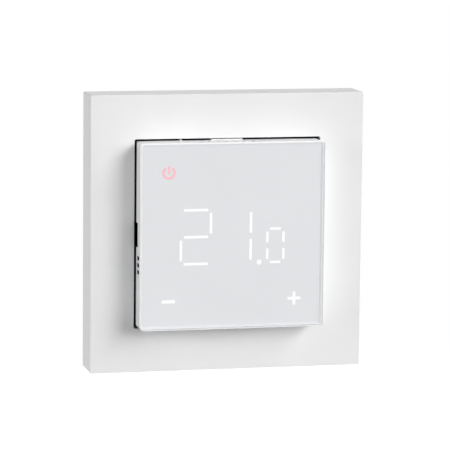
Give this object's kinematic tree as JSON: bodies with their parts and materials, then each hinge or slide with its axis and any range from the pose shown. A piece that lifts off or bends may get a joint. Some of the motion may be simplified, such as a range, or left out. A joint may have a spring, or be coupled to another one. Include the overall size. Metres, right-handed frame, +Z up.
{
  "type": "wall thermostat",
  "caption": "Square flush-mounted room thermostat with a thick clear touch plate, lit digits and a cover frame, on an in-wall box unit with screw terminals.",
  "frame": {"origin": "middle of the wall plane, where the backs of the steel plate and of the cover frame lie", "axes": "+Y points into the wall, +Z up, +X to the right as seen by the user"},
  "size_m": [0.0826, 0.0428, 0.0826],
  "materials": {
    "frame_plastic": "white moulded plastic, very fine satin texture",
    "housing_plastic": "white moulded plastic, fine matt texture",
    "panel_clear": "thick clear acrylic, polished",
    "print_white": "pale grey-white translucent back print",
    "lit_white": "white light through the print",
    "lit_red": "pale red light through the print",
    "black_plastic": "black moulded plastic",
    "grey_plastic": "grey glass-filled plastic, fine matt texture",
    "terminal_plastic": "off-white moulded plastic",
    "board_green": "green lacquered circuit board",
    "spring_steel": "bright spring wire",
    "zinc_steel": "zinc plated steel",
    "brass": "bright brass",
    "ferrite": "dark sintered ferrite",
    "copper_wire": "lacquered copper wire",
    "relay_blue": "blue moulded cover",
    "varistor_blue": "blue dipped lacquer",
    "film_yellow": "yellow moulded case"
  },
  "bodies": {
    "rear_unit": {"pin_socket": "black_plastic", "mounting_plate": "zinc_steel", "box_screw_left": "zinc_steel", "box_screw_right": "zinc_steel", "deck_screw_left": "zinc_steel", "deck_screw_right": "zinc_steel", "front_deck": "black_plastic", "rear_housing": "grey_plastic", "power_board": "board_green", "relay": "relay_blue", "transformer_core": "ferrite", "transformer_coil": "copper_wire", "main_capacitor": "black_plastic", "film_capacitor": "film_yellow", "varistor": "varistor_blue", "fuse": "zinc_steel", "terminal_block": "terminal_plastic", "fixed_contact_1": "brass", "fixed_contact_2": "brass", "fixed_contact_3": "brass", "fixed_contact_4": "brass", "fixed_contact_5": "brass", "fixed_contact_6": "brass"},
    "cover_frame": {"cover_frame": "frame_plastic"},
    "front_unit": {"touch_panel": "panel_clear", "panel_print": "print_white", "diffuser_film": "print_white", "segment_reflector": "black_plastic", "display_board": "board_green", "touch_spring_power": "spring_steel", "touch_spring_minus": "spring_steel", "touch_spring_plus": "spring_steel", "room_sensor": "black_plastic", "switch_body": "black_plastic", "front_housing": "housing_plastic", "unit_back_cover": "housing_plastic", "pin_header": "brass"},
    "switch_knob": {"switch_knob": "black_plastic"},
    "terminal_screw_1": {"terminal_screw_1": "zinc_steel"},
    "terminal_clamp_1": {"terminal_clamp_1": "zinc_steel"},
    "terminal_screw_2": {"terminal_screw_2": "zinc_steel"},
    "terminal_clamp_2": {"terminal_clamp_2": "zinc_steel"},
    "terminal_screw_3": {"terminal_screw_3": "zinc_steel"},
    "terminal_clamp_3": {"terminal_clamp_3": "zinc_steel"},
    "terminal_screw_4": {"terminal_screw_4": "zinc_steel"},
    "terminal_clamp_4": {"terminal_clamp_4": "zinc_steel"},
    "terminal_screw_5": {"terminal_screw_5": "zinc_steel"},
    "terminal_clamp_5": {"terminal_clamp_5": "zinc_steel"},
    "terminal_screw_6": {"terminal_screw_6": "zinc_steel"},
    "terminal_clamp_6": {"terminal_clamp_6": "zinc_steel"}
  },
  "joints": [
    {"name": "cover_frame_pull", "type": "slide", "parent": "rear_unit", "child": "cover_frame", "axis": [0, -1, 0], "range_m": [0, 0.007]},
    {"name": "front_unit_pull", "type": "slide", "parent": "rear_unit", "child": "front_unit", "axis": [0, -1, 0], "range_m": [0, 0.012]},
    {"name": "switch_slide", "type": "slide", "parent": "front_unit", "child": "switch_knob", "axis": [0, 0, 1], "range_m": [-0.0038, 0]},
    {"name": "terminal_screw_1_turn", "type": "hinge", "parent": "rear_unit", "child": "terminal_screw_1", "pos_m": [-0.0155, 0.0205, -0.0163], "axis": [0, -1, 0], "range_deg": [0, 1728]},
    {"name": "terminal_clamp_1_rise", "type": "slide", "parent": "rear_unit", "child": "terminal_clamp_1", "axis": [0, 1, 0], "range_m": [0, 0.0024]},
    {"name": "terminal_screw_2_turn", "type": "hinge", "parent": "rear_unit", "child": "terminal_screw_2", "pos_m": [-0.0093, 0.0205, -0.0163], "axis": [0, -1, 0], "range_deg": [0, 1728]},
    {"name": "terminal_clamp_2_rise", "type": "slide", "parent": "rear_unit", "child": "terminal_clamp_2", "axis": [0, 1, 0], "range_m": [0, 0.0024]},
    {"name": "terminal_screw_3_turn", "type": "hinge", "parent": "rear_unit", "child": "terminal_screw_3", "pos_m": [-0.0031, 0.0205, -0.0163], "axis": [0, -1, 0], "range_deg": [0, 1728]},
    {"name": "terminal_clamp_3_rise", "type": "slide", "parent": "rear_unit", "child": "terminal_clamp_3", "axis": [0, 1, 0], "range_m": [0, 0.0024]},
    {"name": "terminal_screw_4_turn", "type": "hinge", "parent": "rear_unit", "child": "terminal_screw_4", "pos_m": [0.0031, 0.0205, -0.0163], "axis": [0, -1, 0], "range_deg": [0, 1728]},
    {"name": "terminal_clamp_4_rise", "type": "slide", "parent": "rear_unit", "child": "terminal_clamp_4", "axis": [0, 1, 0], "range_m": [0, 0.0024]},
    {"name": "terminal_screw_5_turn", "type": "hinge", "parent": "rear_unit", "child": "terminal_screw_5", "pos_m": [0.0093, 0.0205, -0.0163], "axis": [0, -1, 0], "range_deg": [0, 1728]},
    {"name": "terminal_clamp_5_rise", "type": "slide", "parent": "rear_unit", "child": "terminal_clamp_5", "axis": [0, 1, 0], "range_m": [0, 0.0024]},
    {"name": "terminal_screw_6_turn", "type": "hinge", "parent": "rear_unit", "child": "terminal_screw_6", "pos_m": [0.0155, 0.0205, -0.0163], "axis": [0, -1, 0], "range_deg": [0, 1728]},
    {"name": "terminal_clamp_6_rise", "type": "slide", "parent": "rear_unit", "child": "terminal_clamp_6", "axis": [0, 1, 0], "range_m": [0, 0.0024]}
  ],
  "couplings": [
    {"joint": "terminal_screw_1_turn", "follows": "terminal_clamp_1_rise", "rad_per_m": 12566},
    {"joint": "terminal_screw_2_turn", "follows": "terminal_clamp_2_rise", "rad_per_m": 12566},
    {"joint": "terminal_screw_3_turn", "follows": "terminal_clamp_3_rise", "rad_per_m": 12566},
    {"joint": "terminal_screw_4_turn", "follows": "terminal_clamp_4_rise", "rad_per_m": 12566},
    {"joint": "terminal_screw_5_turn", "follows": "terminal_clamp_5_rise", "rad_per_m": 12566},
    {"joint": "terminal_screw_6_turn", "follows": "terminal_clamp_6_rise", "rad_per_m": 12566}
  ]
}
